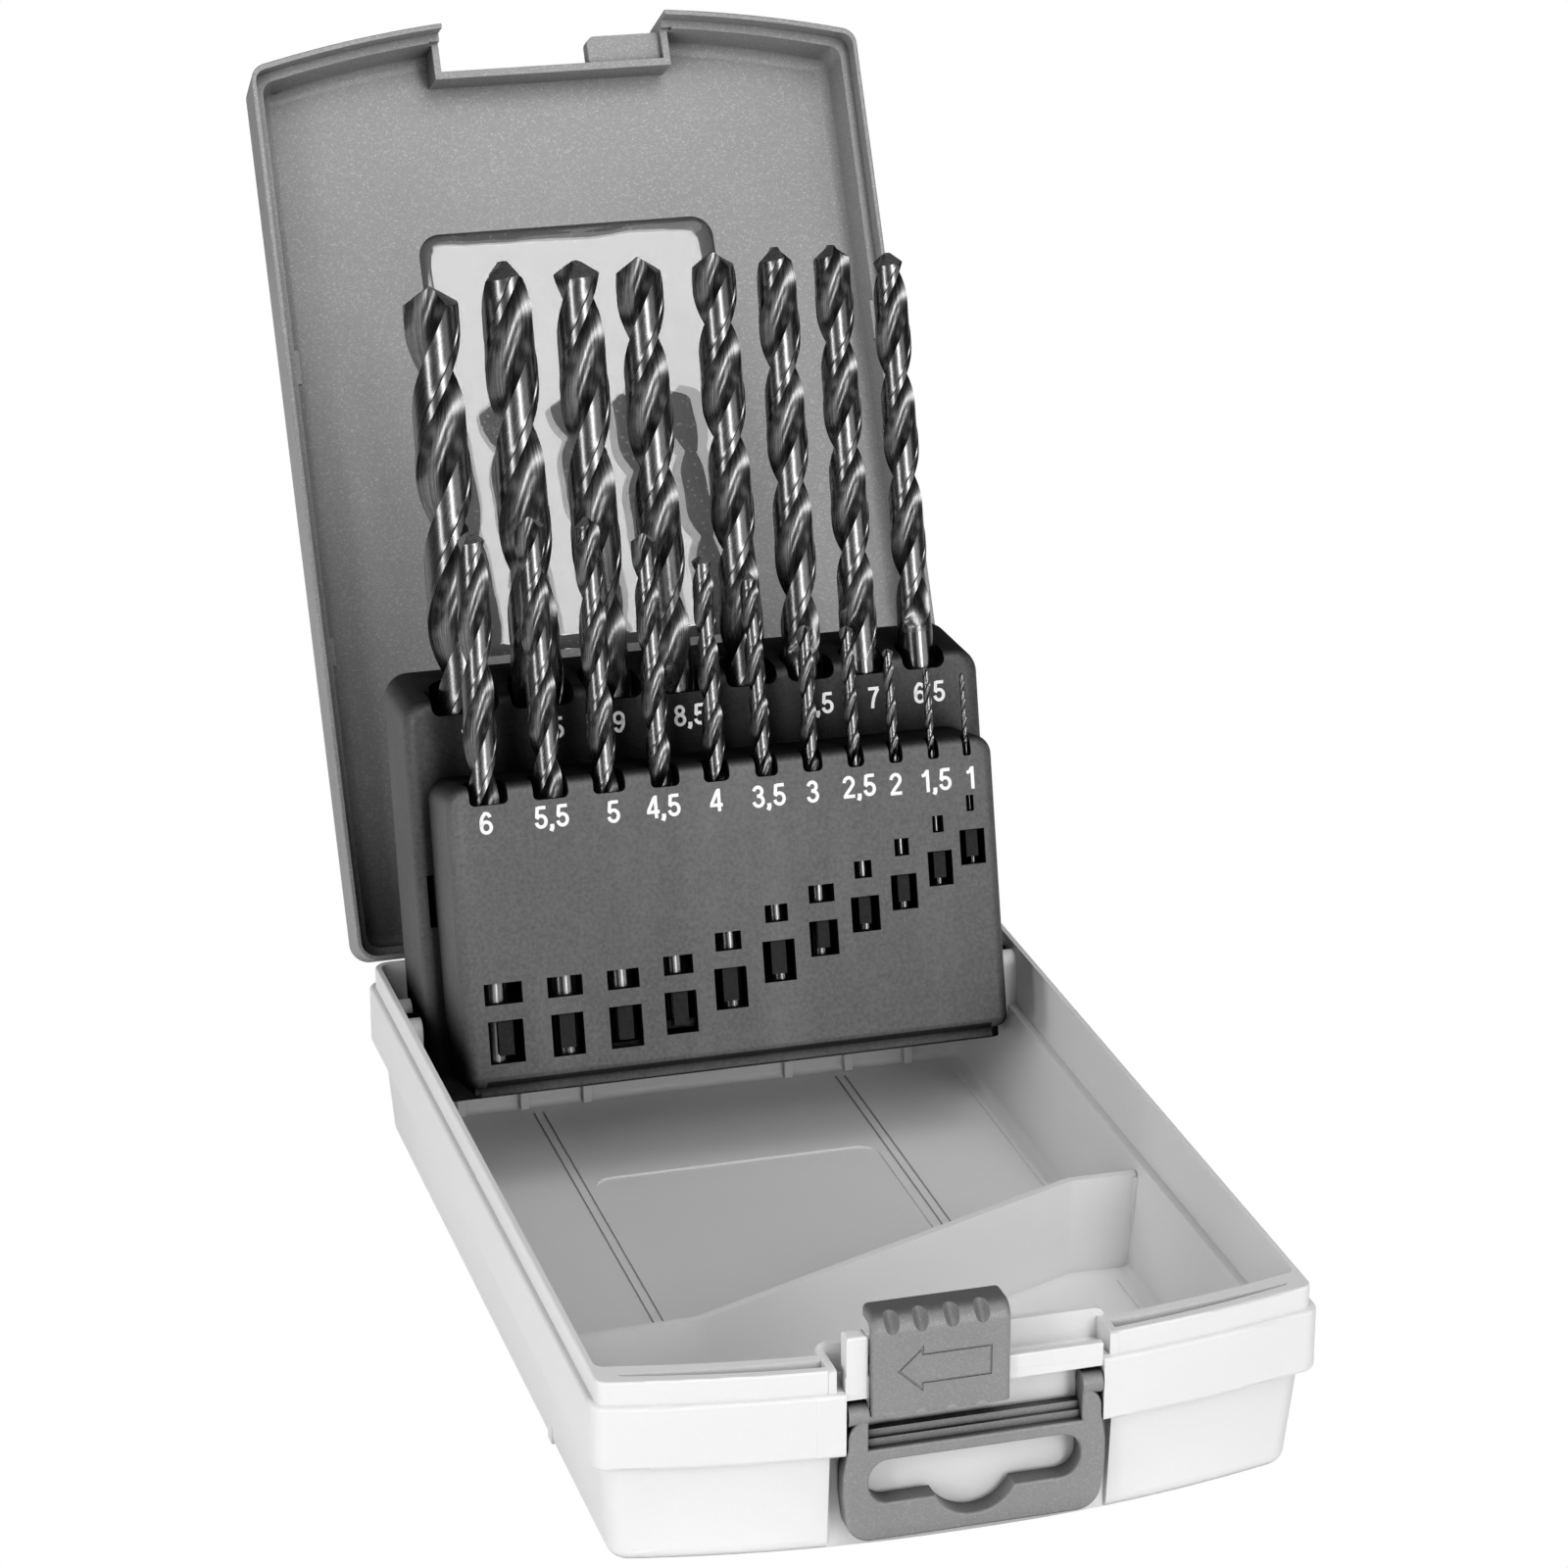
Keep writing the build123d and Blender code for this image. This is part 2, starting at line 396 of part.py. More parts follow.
def make_front_tier():
    blk = box(FT_X0, FT_X1, 0, FT_W, 20.0, FT_S1)
    blk = try_fillet(blk, blk.edges().filter_by(Axis.Y).group_by(Axis.Z)[-1], 3.4)
    blk = try_fillet(blk, blk.edges().filter_by(Axis.Y).group_by(Axis.Z)[0], 2.0)
    blk = try_fillet(blk, blk.edges().group_by(Axis.Y)[0], 1.8)
    low = box(FT_X0 + 2.5, FT_X1 - 2.5, 2.4, FT_W, FT_S0, 23.0)
    body = blk + low
    # hollow, open to the rear tier
    body = body - box(FT_X0 + 1.6, FT_X1 - 1.6, 1.6, FT_W + 1, 22.2, FT_S1 - 3.2)
    body = body - box(FT_X0 + 4.1, FT_X1 - 4.1, 4.0, FT_W + 1, FT_S0 + 1.0, 22.3)
    steps = shelf_steps(FRONT_DRILLS, 1.5, FT_W - 0.6, FT_X0 + 1.5, FT_X1 - 1.5, FT_S0)
    body = body + (steps & box(-60, 60, 2.5, 20, 10, 22.4)) + (steps & box(-60, 60, 0.5, 20, 22.3, 60))
    # clip hooks into the rear tier
    for x in (-36.0, 0.0, 36.0):
        body = body + box(x - 2.4, x + 2.4, FT_W - 4.0, FT_W + 0.9, 62.0, 64.6)
        body = body + box(x - 2.4, x + 2.4, FT_W - 4.0, FT_W - 1.2, 61.0, FT_S1 - 2.5)
    for d, (x, tip, length, flute) in FRONT_DRILLS.items():
        r = d / 2 + HOLE_CLEAR
        w = d / 2 + FRONT_CLEAR
        bot = tip - length
        body = body - Pos(x, w, (bot + 90) / 2 - 0.02) * Cylinder(r, 90 - bot)
        body = body - u_slot(x - r - 0.05, x + r + 0.05, -1, w, 66.3, FT_S1 + 2, min(0.9, 0.6 * r))
        (u0, u1, uw), (l0, l1, lw) = WINDOWS[d]
        for (a, b, wd) in ((u0, u1, uw), (l0, l1, lw)):
            body = body - box(x - wd / 2, x + wd / 2, -1, 1.7, a, b)
        tw = 1.25 if d > 3.2 else 1.0
        body = body + box(x - tw, x + tw, 0.3, 0.9, l0 + 1.3, l1 + 0.8)
    return to_stand(body), body


def make_rear_tier():
    with BuildSketch(Plane.YZ.offset(RT_X0)) as sk:
        with BuildLine():
            Polyline((RT_W0, RT_S0), (RT_W0, RT_SF), (RT_W1, RT_SB), (RT_W1, RT_S0), (RT_W0, RT_S0))
        make_face()
    blk = Part() + extrude(sk.sketch, amount=RT_X1 - RT_X0)
    top = [e for e in blk.edges() if abs(e.center().Z - (RT_SF + RT_SB) / 2) < 0.6
           and (abs(e.center().X - RT_X0) < 0.01 or abs(e.center().X - RT_X1) < 0.01)]
    blk = try_fillet(blk, top, 4.2)
    face = [e for e in blk.edges() if abs(e.center().Y - RT_W0) < 0.01 and e.center().Z > RT_S0 + 1]
    blk = try_fillet(blk, face, 2.2)
    back = [e for e in blk.edges() if abs(e.center().Y - RT_W1) < 0.01]
    blk = try_fillet(blk, back, 1.8)
    inner = box(RT_X0 + 1.6, RT_X1 - 1.6, RT_W0 + 1.6, RT_W1 - 1.6, RT_S0 + 1.5, 78.6)
    body = blk - inner
    body = body + shelf_steps(REAR_DRILLS, RT_W0 + 1.5, RT_W1 - 1.5, RT_X0 + 1.5, RT_X1 - 1.5, RT_S0)
    body = body + box(RT_X0 + 1.5, RT_X1 - 1.5, RT_W0 + 1.5, RT_W1 - 1.5, 58.0, 60.0)
    for x in (-36.0, 0.0, 36.0):
        body = body - box(x - 2.7, x + 2.7, RT_W0 - 1, RT_W0 + 1.7, 61.7, 64.9)
    # slots beside the front tier, pivot pins
    for xa, xb in ((FT_X0 - 1.25, FT_X0 - 0.05), (FT_X1 + 0.05, FT_X1 + 1.25)):
        body = body - box(xa, xb, RT_W0 - 1, RT_W0 + 1.7, 44.9, 53.6)
    for sx in (-1, 1):
        xa, xb = sorted((sx * 48.6, sx * 52.7))
        body = body + Pos((xa + xb) / 2, PIV_W, PIV_S) * Rot(0, 90, 0) * Cylinder(PIV_R, xb - xa)
    for d, (x, tip, length, flute) in REAR_DRILLS.items():
        r = d / 2 + HOLE_CLEAR
        w = RT_W0 + d / 2 + REAR_CLEAR
        bot = tip - length
        body = body - Pos(x, w, (bot + 100) / 2 - 0.02) * Cylinder(r, 100 - bot)
        c = REAR_SLOTS[d]
        body = body - u_slot(min(c, x) - r - 0.1, max(c, x) + r + 0.1, RT_W0 - 1, w, 79.6, RT_SB + 4, 1.5)
    return to_stand(body), body


def make_drill(d, x, w, tip, length, flute):
    """Straight-shank twist drill as a plain envelope with its 118 degree point."""
    r = d / 2
    bot = tip - length
    cone = r / math.tan(math.radians(59))
    with BuildSketch(Plane.XZ) as sk:
        with BuildLine():
            Polyline((0, 0), (r - 0.06 * d, 0), (r, 0.06 * d), (r, length - cone), (0, length), (0, 0))
        make_face()
    drill = revolve(sk.sketch, axis=Axis.Z)
    return to_stand(Pos(x, w, bot) * drill)


if __name__ == "__main__":
    os.makedirs("parts", exist_ok=True)
    base = make_base()
    save("base_tray", base)
    save("lid_cover", make_lid())
    save("lid_window", make_pane())
    save("label_card", make_card())
    save("latch_slider", make_slider())
    save("hang_handle", make_handle())
    ft, _ = make_front_tier()
    save("stand_front_tier", ft)
    rt, _ = make_rear_tier()
    save("stand_rear_tier", rt)
    for table, face in ((FRONT_DRILLS, FRONT_CLEAR), (REAR_DRILLS, RT_W0 + REAR_CLEAR)):
        for d, (x, tip, length, flute) in table.items():
            name = ("drill_%04.1f_mm" % d).replace(".", "_")
            save(name, make_drill(d, x, face + d / 2, tip, length, flute))
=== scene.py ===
import bpy
import bmesh
import math
import random
from mathutils import Matrix, Vector


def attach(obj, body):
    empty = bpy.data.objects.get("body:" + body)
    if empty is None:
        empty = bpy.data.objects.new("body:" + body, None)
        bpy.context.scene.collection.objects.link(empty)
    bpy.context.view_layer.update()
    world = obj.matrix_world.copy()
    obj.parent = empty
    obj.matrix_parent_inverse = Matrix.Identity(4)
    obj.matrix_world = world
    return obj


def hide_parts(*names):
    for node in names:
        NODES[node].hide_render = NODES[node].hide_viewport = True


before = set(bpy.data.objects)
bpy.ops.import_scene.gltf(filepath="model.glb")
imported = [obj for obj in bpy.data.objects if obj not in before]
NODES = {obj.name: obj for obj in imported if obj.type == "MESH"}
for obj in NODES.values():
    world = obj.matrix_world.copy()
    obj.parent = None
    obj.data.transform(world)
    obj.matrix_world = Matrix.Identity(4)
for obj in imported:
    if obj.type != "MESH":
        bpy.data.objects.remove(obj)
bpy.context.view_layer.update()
MM = 0.001
random.seed(7)

# ---------------------------------------------------------------- camera
CAM_POS = (-0.19550533, -0.65670424, 0.35229019)
RIGHT = (0.96002762, -0.27990443, 0.00069563)
DOWN = (-0.10080486, -0.34806095, -0.93203645)
FORWARD = (0.26112325, 0.89471061, -0.36236385)
cam_data = bpy.data.cameras.new("camera")
cam_data.sensor_width = 36.0
cam_data.lens = 36.0 * 4880.4487 / 1600.0
cam_data.clip_start = 0.01
cam_data.clip_end = 20.0
camera = bpy.data.objects.new("camera", cam_data)
bpy.context.scene.collection.objects.link(camera)
x_ax, y_ax, z_ax = Vector(RIGHT), -Vector(DOWN), -Vector(FORWARD)
camera.matrix_world = Matrix(((x_ax.x, y_ax.x, z_ax.x, CAM_POS[0]),
                              (x_ax.y, y_ax.y, z_ax.y, CAM_POS[1]),
                              (x_ax.z, y_ax.z, z_ax.z, CAM_POS[2]),
                              (0, 0, 0, 1)))
bpy.context.scene.camera = camera
bpy.context.scene.view_settings.view_transform = "Standard"
bpy.context.scene.view_settings.look = "None"


# ---------------------------------------------------------------- node helpers
def new_material(name):
    mat = bpy.data.materials.new(name)
    mat.use_nodes = True
    nt = mat.node_tree
    nt.nodes.clear()
    out = nt.nodes.new("ShaderNodeOutputMaterial")
    bsdf = nt.nodes.new("ShaderNodeBsdfPrincipled")
    nt.links.new(bsdf.outputs[0], out.inputs["Surface"])
    return mat, nt, bsdf, out


def link(nt, a, b):
    nt.links.new(a, b)


def coords(nt, rotate=None, scale=None):
    tc = nt.nodes.new("ShaderNodeTexCoord")
    if rotate is None and scale is None:
        return tc.outputs["Object"]
    mp = nt.nodes.new("ShaderNodeMapping")
    if rotate is not None:
        mp.inputs["Rotation"].default_value = rotate
    if scale is not None:
        mp.inputs["Scale"].default_value = scale
    link(nt, tc.outputs["Object"], mp.inputs["Vector"])
    return mp.outputs["Vector"]


def noise(nt, vec, scale, detail=2.0, rough=0.5):
    n = nt.nodes.new("ShaderNodeTexNoise")
    n.inputs["Scale"].default_value = scale
    n.inputs["Detail"].default_value = detail
    n.inputs["Roughness"].default_value = rough
    link(nt, vec, n.inputs["Vector"])
    return n.outputs["Fac"]


def voronoi(nt, vec, scale):
    n = nt.nodes.new("ShaderNodeTexVoronoi")
    n.inputs["Scale"].default_value = scale
    link(nt, vec, n.inputs["Vector"])
    return n


def ramp(nt, fac, stops):
    r = nt.nodes.new("ShaderNodeValToRGB")
    el = r.color_ramp.elements
    while len(el) > 1:
        el.remove(el[-1])
    el[0].position = stops[0][0]
    el[0].color = (stops[0][1],) * 3 + (1.0,)
    for pos, val in stops[1:]:
        e = el.new(pos)
        e.color = (val,) * 3 + (1.0,)
    link(nt, fac, r.inputs["Fac"])
    return r.outputs["Color"]


def map_range(nt, fac, a, b, lo, hi):
    m = nt.nodes.new("ShaderNodeMapRange")
    m.inputs["From Min"].default_value = a
    m.inputs["From Max"].default_value = b
    m.inputs["To Min"].default_value = lo
    m.inputs["To Max"].default_value = hi
    link(nt, fac, m.inputs["Value"])
    return m.outputs["Result"]


def math_node(nt, op, a, b):
    m = nt.nodes.new("ShaderNodeMath")
    m.operation = op
    for i, v in enumerate((a, b)):
        if isinstance(v, (int, float)):
            m.inputs[i].default_value = v
        else:
            link(nt, v, m.inputs[i])
    return m.outputs[0]


def bump(nt, height, strength, distance, normal=None):
    b = nt.nodes.new("ShaderNodeBump")
    b.inputs["Strength"].default_value = strength
    b.inputs["Distance"].default_value = distance
    link(nt, height, b.inputs["Height"])
    if normal is not None:
        link(nt, normal, b.inputs["Normal"])
    return b.outputs["Normal"]


def grey_color(nt, value_socket):
    """A grey colour from a value."""
    c = nt.nodes.new("ShaderNodeCombineColor")
    for i in range(3):
        link(nt, value_socket, c.inputs[i])
    return c.outputs[0]


# ---------------------------------------------------------------- materials
def painted_corner_shade(nt, b, out, reach, lo, hi, floor, shade=None):
    """Painted shade: tight corners and narrow openings fall away to near black through an occlusion factor."""
    ao = nt.nodes.new("ShaderNodeAmbientOcclusion")
    ao.samples = 5
    ao.inputs["Distance"].default_value = reach
    dark = nt.nodes.new("ShaderNodeBsdfDiffuse")
    dark.inputs[0].default_value = (floor, floor, floor, 1.0)
    mix = nt.nodes.new("ShaderNodeMixShader")
    fac = map_range(nt, ao.outputs["AO"], lo, hi, 0.0, 1.0)
    if shade is not None:
        fac = math_node(nt, "MULTIPLY", fac, shade)
    link(nt, fac, mix.inputs[0])
    link(nt, dark.outputs[0], mix.inputs[1])
    link(nt, b.outputs[0], mix.inputs[2])
    link(nt, mix.outputs[0], out.inputs["Surface"])


def mat_tray():
    """Near-white moulded plastic with a soft satin skin."""
    mat, nt, b, out = new_material("tray_plastic_look")
    vec = coords(nt)
    cloud = noise(nt, vec, 18.0, 3.0, 0.55)
    fine = noise(nt, vec, 2600.0, 2.0, 0.5)
    base = map_range(nt, cloud, 0.3, 0.7, 0.72, 0.745)
    grain = map_range(nt, fine, 0.3, 0.7, -0.006, 0.006)
    link(nt, grey_color(nt, math_node(nt, "ADD", base, grain)), b.inputs["Base Color"])
    link(nt, map_range(nt, cloud, 0.3, 0.7, 0.42, 0.52), b.inputs["Roughness"])
    link(nt, bump(nt, fine, 0.10, 0.0001), b.inputs["Normal"])
    b.inputs["IOR"].default_value = 1.45
    # painted shade in the deep grooves and inner corners
    painted_corner_shade(nt, b, out, 0.004, 0.0, 0.45, 0.22)
    return mat


def fleck_plastic(name, lo, hi, rough, fleck_amount, fleck_scale, ior=1.5, metal=0.0, grain_strength=0.12, shade_reach=None, painted_top_shade=None):
    """Grey plastic with metallic flakes in it, optionally with painted shade on up-facing faces and in tight corners.
    """
    mat, nt, b, out = new_material(name)
    vec = coords(nt)
    cloud = noise(nt, vec, 30.0, 3.0, 0.6)
    flake = voronoi(nt, vec, fleck_scale)
    sep = nt.nodes.new("ShaderNodeSeparateColor")
    link(nt, flake.outputs["Color"], sep.inputs[0])
    sparkle = ramp(nt, sep.outputs[0], [(0.0, 0.0), (0.55, 0.0), (0.90, 0.45), (0.98, 1.0), (1.0, 1.0)])
    grain = noise(nt, vec, fleck_scale * 1.4, 2.0, 0.6)
    base = map_range(nt, cloud, 0.3, 0.7, lo, hi)
    g = map_range(nt, grain, 0.25, 0.75, -fleck_amount * 0.35, fleck_amount * 0.35)
    value = math_node(nt, "ADD", base, g)
    value = math_node(nt, "ADD", value, math_node(nt, "MULTIPLY", sparkle, fleck_amount))
    # painted shade: faces turned up are darkened, as the light falls mostly from the front
    if painted_top_shade is not None:
        tn = nt.nodes.new("ShaderNodeTexCoord")
        up = nt.nodes.new("ShaderNodeSeparateXYZ")
        link(nt, tn.outputs["Normal"], up.inputs[0])
        value = math_node(nt, "MULTIPLY", value, map_range(nt, up.outputs[2], 0.30, 0.95, 1.0, painted_top_shade))
    link(nt, grey_color(nt, value), b.inputs["Base Color"])
    link(nt, map_range(nt, grain, 0.3, 0.7, rough - 0.04, rough + 0.05), b.inputs["Roughness"])
    link(nt, bump(nt, grain, grain_strength, 0.0001), b.inputs["Normal"])
    b.inputs["IOR"].default_value = ior
    b.inputs["Metallic"].default_value = metal
    # painted shade in tight corners and recesses, within the given reach
    if shade_reach:
        painted_corner_shade(nt, b, out, shade_reach, 0.15 if shade_reach > 0.01 else 0.35, 0.64 if shade_reach > 0.01 else 0.88, 0.01)
    return mat


def mat_stand():
    """Charcoal moulded plastic with a fine spark-eroded texture and faint scuffs, with painted shade in corners, on the
    spring tongues and on up-facing faces.
    """
    mat, nt, b, out = new_material("stand_plastic_look")
    vec = coords(nt)
    cloud = noise(nt, vec, 26.0, 4.0, 0.6)
    streak = noise(nt, coords(nt, scale=(1.0, 0.5, 0.16)), 60.0, 3.0, 0.6)
    fine = noise(nt, vec, 1500.0, 3.0, 0.6)
    base = map_range(nt, cloud, 0.3, 0.7, 0.052, 0.086)
    scuff = map_range(nt, streak, 0.52, 0.75, 0.0, 0.035)
    grain = map_range(nt, fine, 0.25, 0.75, -0.026, 0.026)
    value = math_node(nt, "ADD", math_node(nt, "ADD", base, scuff), grain)
    link(nt, grey_color(nt, value), b.inputs["Base Color"])
    link(nt, map_range(nt, cloud, 0.3, 0.7, 0.43, 0.52), b.inputs["Roughness"])
    link(nt, bump(nt, fine, 0.45, 0.00013), b.inputs["Normal"])
    b.inputs["IOR"].default_value = 1.52
    # painted shade on the spring tongues, which sit behind the front skin
    xyz = nt.nodes.new("ShaderNodeSeparateXYZ")
    link(nt, vec, xyz.inputs[0])
    w = math_node(nt, "SUBTRACT", math_node(nt, "SUBTRACT", math_node(nt, "MULTIPLY", xyz.outputs[1], 0.9703),
                                            math_node(nt, "MULTIPLY", xyz.outputs[2], 0.2419)), 0.0279)
    tongue_shade_mask = math_node(nt, "MULTIPLY", map_range(nt, w, 0.00010, 0.00022, 0.0, 1.0),
                      map_range(nt, w, 0.0012, 0.0018, 1.0, 0.0))
    side = math_node(nt, "LESS_THAN", math_node(nt, "ABSOLUTE", math_node(nt, "ADD", xyz.outputs[0], 0.0005), 0.0), 0.0432)
    low = math_node(nt, "LESS_THAN", xyz.outputs[2], 0.066)
    tongue_shade_mask = math_node(nt, "MULTIPLY", math_node(nt, "MULTIPLY", tongue_shade_mask, side), low)
    shade = math_node(nt, "SUBTRACT", 1.0, math_node(nt, "MULTIPLY", tongue_shade_mask, 0.82))
    # painted shade on the up-facing faces round the holes, which the light from the front barely reaches
    tn = nt.nodes.new("ShaderNodeTexCoord")
    up = nt.nodes.new("ShaderNodeVectorMath")
    up.operation = "DOT_PRODUCT"
    link(nt, tn.outputs["Normal"], up.inputs[0])
    up.inputs[1].default_value = (0.0, 0.2419, 0.9703)
    shade = math_node(nt, "MULTIPLY", shade, map_range(nt, up.outputs["Value"], 0.35, 0.85, 1.0, 0.28))
    # painted shade in corners and between the drills, deepened by the tongue and up-facing masks
    painted_corner_shade(nt, b, out, 0.024, 0.52, 0.95, 0.003, shade)
    return mat


def mat_steel():
    """Dark tool steel: satin lands, brighter rolled flutes, dull ground points; marks follow the twist."""
    mat, nt, b, out = new_material("drill_steel_look")
    hx = nt.nodes.new("ShaderNodeAttribute")
    hx.attribute_name = "helix"
    zn = nt.nodes.new("ShaderNodeAttribute")
    zn.attribute_name = "zone"
    marks = noise(nt, hx.outputs["Vector"], 4.6, 3.0, 0.65)
    mottle = noise(nt, coords(nt), 1100.0, 3.0, 0.6)
    base = ramp(nt, zn.outputs["Fac"], [(0.0, 0.22), (0.12, 0.22), (0.13, 0.21), (0.37, 0.21), (0.38, 0.16),
                                        (0.74, 0.16), (0.75, 0.42), (1.0, 0.42)])
    value = math_node(nt, "ADD", base, map_range(nt, mottle, 0.3, 0.7, -0.02, 0.02))
    cut = ramp(nt, zn.outputs["Fac"], [(0.0, 0.2), (0.12, 0.2), (0.13, 0.25), (0.37, 0.25), (0.38, 1.0), (1.0, 1.0)])
    value = math_node(nt, "MULTIPLY", value, math_node(nt, "ADD", 1.0, math_node(nt, "MULTIPLY", cut, map_range(nt, marks, 0.35, 0.65, -0.42, 0.55))))
    link(nt, grey_color(nt, value), b.inputs["Base Color"])
    b.inputs["Metallic"].default_value = 1.0
    rough = ramp(nt, zn.outputs["Fac"], [(0.0, 0.20), (0.12, 0.20), (0.13, 0.26), (0.37, 0.26), (0.38, 0.28),
                                         (0.74, 0.28), (0.75, 0.45), (1.0, 0.45)])
    link(nt, math_node(nt, "ADD", rough, map_range(nt, marks, 0.3, 0.7, -0.04, 0.04)), b.inputs["Roughness"])
    deep = ramp(nt, zn.outputs["Fac"], [(0.0, 0.0), (0.12, 0.0), (0.13, 0.05), (0.37, 0.05), (0.38, 1.0), (1.0, 1.0)])
    link(nt, bump(nt, math_node(nt, "MULTIPLY", marks, deep), 0.16, 0.00004), b.inputs["Normal"])
    # painted shade where the drills go into the stand and in tight corners
    painted_corner_shade(nt, b, out, 0.010, 0.10, 0.55, 0.004)
    return mat


DISH, TURN, LEAN = 0.24, 0.009, -0.014           # 1/m and slopes of the pane


def lid_coords(nt):
    """Closed-lid coordinates, m, of the lid at rest."""
    c, si = math.cos(math.radians(-117.7)), math.sin(math.radians(-117.7))
    tc = nt.nodes.new("ShaderNodeTexCoord")
    mp = nt.nodes.new("ShaderNodeMapping")
    mp.inputs["Rotation"].default_value = (math.radians(117.7), 0.0, 0.0)
    mp.inputs["Location"].default_value = (0.0, 0.0808 - (0.0808 * c + 0.026 * si), 0.026 - (-0.0808 * si + 0.026 * c))
    link(nt, tc.outputs["Object"], mp.inputs["Vector"])
    return mp.outputs["Vector"]


def pane_edge(nt, wander):
    """Distance in from the window's rounded edge, m, with a slow waver."""
    xyz = nt.nodes.new("ShaderNodeSeparateXYZ")
    link(nt, lid_coords(nt), xyz.inputs[0])
    dx = math_node(nt, "SUBTRACT", 0.027, math_node(nt, "ABSOLUTE", xyz.outputs[0], 0.0))
    dy = math_node(nt, "SUBTRACT", 0.038, math_node(nt, "ABSOLUTE", math_node(nt, "ADD", xyz.outputs[1], 0.012), 0.0))
    m = nt.nodes.new("ShaderNodeMath")
    m.operation = "SMOOTH_MIN"
    link(nt, dx, m.inputs[0])
    link(nt, dy, m.inputs[1])
    m.inputs[2].default_value = 0.004
    w = map_range(nt, noise(nt, coords(nt), 75.0, 1.0, 0.4), 0.3, 0.7, -wander, wander)
    return math_node(nt, "ADD", m.outputs[0], w)


def mat_window():
    """Clear moulded pane, rounded off near its edge; lamps reach what is behind it."""
    mat, nt, b, out = new_material("window_look")
    vec = coords(nt)
    wave = noise(nt, vec, 90.0, 1.0, 0.4)
    b.inputs["Base Color"].default_value = (0.96, 0.96, 0.96, 1.0)
    b.inputs["Transmission Weight"].default_value = 1.0
    b.inputs["IOR"].default_value = 1.56
    link(nt, map_range(nt, wave, 0.3, 0.7, 0.004, 0.012), b.inputs["Roughness"])
    roll = nt.nodes.new("ShaderNodeMapRange")
    roll.interpolation_type = "SMOOTHSTEP"
    roll.inputs["From Min"].default_value = -0.0004
    roll.inputs["From Max"].default_value = 0.0026
    link(nt, pane_edge(nt, 0.0005), roll.inputs["Value"])
    # the moulding is slightly dished to the right and leans back a little
    xyz = nt.nodes.new("ShaderNodeSeparateXYZ")
    link(nt, lid_coords(nt), xyz.inputs[0])
    dish = math_node(nt, "MAXIMUM", math_node(nt, "ADD", xyz.outputs[0], 0.018), 0.0)
    dish = math_node(nt, "MULTIPLY", math_node(nt, "MULTIPLY", dish, dish), DISH)
    height = math_node(nt, "ADD", dish, math_node(nt, "MULTIPLY", xyz.outputs[1], LEAN))
    height = math_node(nt, "ADD", height, math_node(nt, "MULTIPLY", xyz.outputs[0], TURN))
    height = math_node(nt, "ADD", height, math_node(nt, "MULTIPLY", roll.outputs["Result"], 0.0008))
    link(nt, bump(nt, height, 1.0, 1.0), b.inputs["Normal"])
    tr = nt.nodes.new("ShaderNodeBsdfTransparent")
    tr.inputs[0].default_value = (0.92, 0.92, 0.92, 1.0)
    lp = nt.nodes.new("ShaderNodeLightPath")
    mix = nt.nodes.new("ShaderNodeMixShader")
    link(nt, lp.outputs["Is Shadow Ray"], mix.inputs[0])
    link(nt, b.outputs[0], mix.inputs[1])
    link(nt, tr.outputs[0], mix.inputs[2])
    link(nt, mix.outputs[0], out.inputs["Surface"])
    return mat


def mat_card():
    """Backing behind the pane: grey stock with flecks, with painted shade darkening it towards the window's edge."""
    mat, nt, b, _ = new_material("card_look")
    vec = coords(nt)
    fibre = noise(nt, vec, 1900.0, 3.0, 0.6)
    cloud = noise(nt, vec, 40.0, 2.0, 0.5)
    flake = voronoi(nt, vec, 2600.0)
    sep = nt.nodes.new("ShaderNodeSeparateColor")
    link(nt, flake.outputs["Color"], sep.inputs[0])
    dots = ramp(nt, sep.outputs[0], [(0.0, 0.0), (0.93, 0.0), (0.99, 0.12), (1.0, 0.12)])
    value = math_node(nt, "ADD", map_range(nt, cloud, 0.3, 0.7, 0.085, 0.10),
                      map_range(nt, fibre, 0.3, 0.7, -0.012, 0.012))
    value = math_node(nt, "ADD", value, dots)
    # painted shade near the window's edge
    shade = map_range(nt, pane_edge(nt, 0.0002), 0.0, 0.0028, 0.45, 1.0)
    link(nt, grey_color(nt, math_node(nt, "MULTIPLY", value, shade)), b.inputs["Base Color"])
    link(nt, map_range(nt, fibre, 0.3, 0.7, 0.65, 0.8), b.inputs["Roughness"])
    return mat


def mat_print():
    """White pad-printed ink."""
    mat, nt, b, _ = new_material("print_look")
    vec = coords(nt)
    f = noise(nt, vec, 1400.0, 2.0, 0.5)
    link(nt, grey_color(nt, map_range(nt, f, 0.3, 0.7, 0.86, 0.93)), b.inputs["Base Color"])
    link(nt, map_range(nt, f, 0.3, 0.7, 0.5, 0.6), b.inputs["Roughness"])
    return mat


M_TRAY = mat_tray()
# lid: painted shade in corners and where the stand shades it; trim: painted shade in recesses and on up-facing faces
M_LID = fleck_plastic("lid_plastic_look", 0.255, 0.28, 0.40, 0.12, 4000.0, ior=1.5, shade_reach=0.030)
M_TRIM = fleck_plastic("trim_plastic_look", 0.20, 0.225, 0.36, 0.085, 7000.0, ior=1.5, grain_strength=0.25, shade_reach=0.006, painted_top_shade=0.45)
M_STAND = mat_stand()
M_STEEL = mat_steel()
M_WINDOW = mat_window()
M_CARD = mat_card()
M_PRINT = mat_print()


def dress(node, mat):
    ob = NODES[node]
    if not ob.material_slots:
        ob.data.materials.append(mat)
    for slot in ob.material_slots:
        slot.link = "OBJECT"
        slot.material = mat


